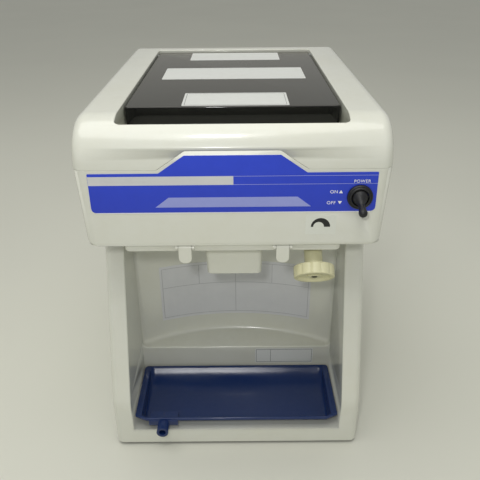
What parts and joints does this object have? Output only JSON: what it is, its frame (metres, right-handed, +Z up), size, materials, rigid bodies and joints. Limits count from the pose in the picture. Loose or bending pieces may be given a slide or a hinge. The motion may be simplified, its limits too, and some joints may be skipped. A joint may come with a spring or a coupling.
{
  "type": "ice slicer",
  "caption": "Countertop ice slicer: cubes under a hinged lid are planed by a driven impeller over a blade and fall through a chute into a bay with a drip tray.",
  "frame": {"origin": "on the table, under the middle of the machine's bounding box", "axes": "+X to the user's right, +Y away from the user, +Z up"},
  "size_m": [0.32, 0.4604, 0.4235],
  "materials": {
    "ivory_shell": "glossy ivory white ABS",
    "knob_ivory": "aged ivory moulding",
    "smoked_lid": "polished near-black smoked acrylic",
    "panel_blue": "printed film, royal blue",
    "tray_blue": "glossy dark blue moulding",
    "grey_hopper": "satin food-grade plastic",
    "black_rubber": "matte black rubber",
    "black_plastic": "moulded black phenolic",
    "cast_alloy": "as-cast, lightly machined",
    "stainless": "brushed stainless steel",
    "steel": "ground steel",
    "zinc_screw": "bright zinc plated",
    "copper": "enamelled copper wire",
    "green_paint": "grey enamel",
    "bronze": "sintered bronze"
  },
  "bodies": {
    "housing": {"stand_body": "ivory_shell", "rear_cover": "stainless", "rear_screws": "zinc_screw", "bottom_plate": "stainless", "rubber_feet": "black_rubber", "foot_screws": "zinc_screw", "cord_gland": "black_plastic", "head_casing": "ivory_shell", "upper_cover": "ivory_shell", "cover_screws": "zinc_screw", "stand_screws": "zinc_screw", "stand_nuts": "zinc_screw", "control_panel": "panel_blue", "switch_body": "black_plastic", "switch_boot": "black_rubber", "ice_hopper": "grey_hopper", "ice_bowl": "stainless", "bowl_screws": "zinc_screw", "base_plate": "cast_alloy", "plate_screws": "zinc_screw", "shaft_bearing": "bronze", "gear_case": "cast_alloy", "gear_case_screws": "zinc_screw", "motor_housing": "green_paint", "motor_top_bell": "cast_alloy", "motor_foot_bell": "cast_alloy", "motor_bearings": "bronze", "motor_stator": "steel", "motor_windings": "copper", "motor_screws": "zinc_screw", "ice_chute": "ivory_shell", "chute_guard": "ivory_shell", "latch_pins": "zinc_screw", "lever_pin": "steel", "toggle_pin": "steel", "knob_bush": "bronze", "lid_switch": "black_plastic", "run_capacitor": "black_plastic", "terminal_block": "grey_hopper"},
    "lid_body": {"lid": "smoked_lid", "lid_hinge_pins": "steel", "lid_magnet": "steel"},
    "impeller_body": {"impeller": "cast_alloy", "impeller_shaft": "steel", "drive_gear": "steel"},
    "rotor_body": {"motor_rotor": "steel", "motor_shaft": "steel", "motor_fan": "black_plastic", "motor_pinion": "steel"},
    "knob_body": {"adjust_knob": "knob_ivory", "knob_rod": "steel", "knob_clip": "zinc_screw"},
    "blade_body": {"blade_lever": "stainless", "blade": "stainless", "blade_screws": "zinc_screw"},
    "switch_lever_body": {"switch_lever": "black_rubber"},
    "tray_body": {"drip_tray": "tray_blue"},
    "latch_left_body": {"latch_left": "ivory_shell"},
    "latch_right_body": {"latch_right": "ivory_shell"}
  },
  "joints": [
    {"name": "lid_hinge", "type": "hinge", "parent": "housing", "child": "lid_body", "pos_m": [0, 0.1894, 0.416], "axis": [-1, 0, 0], "range_deg": [0, 95]},
    {"name": "impeller_spin", "type": "hinge", "parent": "housing", "child": "impeller_body", "pos_m": [0, -0.035, 0.33], "axis": [0, 0, 1], "continuous": true},
    {"name": "rotor_spin", "type": "hinge", "parent": "housing", "child": "rotor_body", "pos_m": [0, 0.028, 0.25], "axis": [0, 0, 1], "continuous": true},
    {"name": "knob_turn", "type": "hinge", "parent": "housing", "child": "knob_body", "pos_m": [0.088, -0.198, 0.247], "axis": [0, -0.7071, -0.7071], "range_deg": [0, 270]},
    {"name": "blade_tilt", "type": "hinge", "parent": "housing", "child": "blade_body", "pos_m": [0.042, -0.1145, 0.3075], "axis": [0, -1, 0], "range_deg": [0, 1.8]},
    {"name": "power_toggle", "type": "hinge", "parent": "housing", "child": "switch_lever_body", "pos_m": [0.1277, -0.206, 0.347], "axis": [-1, 0, 0], "range_deg": [0, 38]},
    {"name": "tray_slide", "type": "slide", "parent": "housing", "child": "tray_body", "axis": [0, -1, 0], "range_m": [0, 0.11]},
    {"name": "latch_left_hinge", "type": "hinge", "parent": "housing", "child": "latch_left_body", "pos_m": [-0.052, -0.2008, 0.2877], "axis": [-1, 0, 0], "range_deg": [0, 18], "stiffness_Nm_per_rad": 0.02},
    {"name": "latch_right_hinge", "type": "hinge", "parent": "housing", "child": "latch_right_body", "pos_m": [0.052, -0.2008, 0.2877], "axis": [-1, 0, 0], "range_deg": [0, 18], "stiffness_Nm_per_rad": 0.02}
  ],
  "couplings": [
    {"joint": "rotor_spin", "follows": "impeller_spin", "ratio": -4.25},
    {"joint": "blade_tilt", "follows": "knob_turn", "ratio": 0.006296}
  ]
}
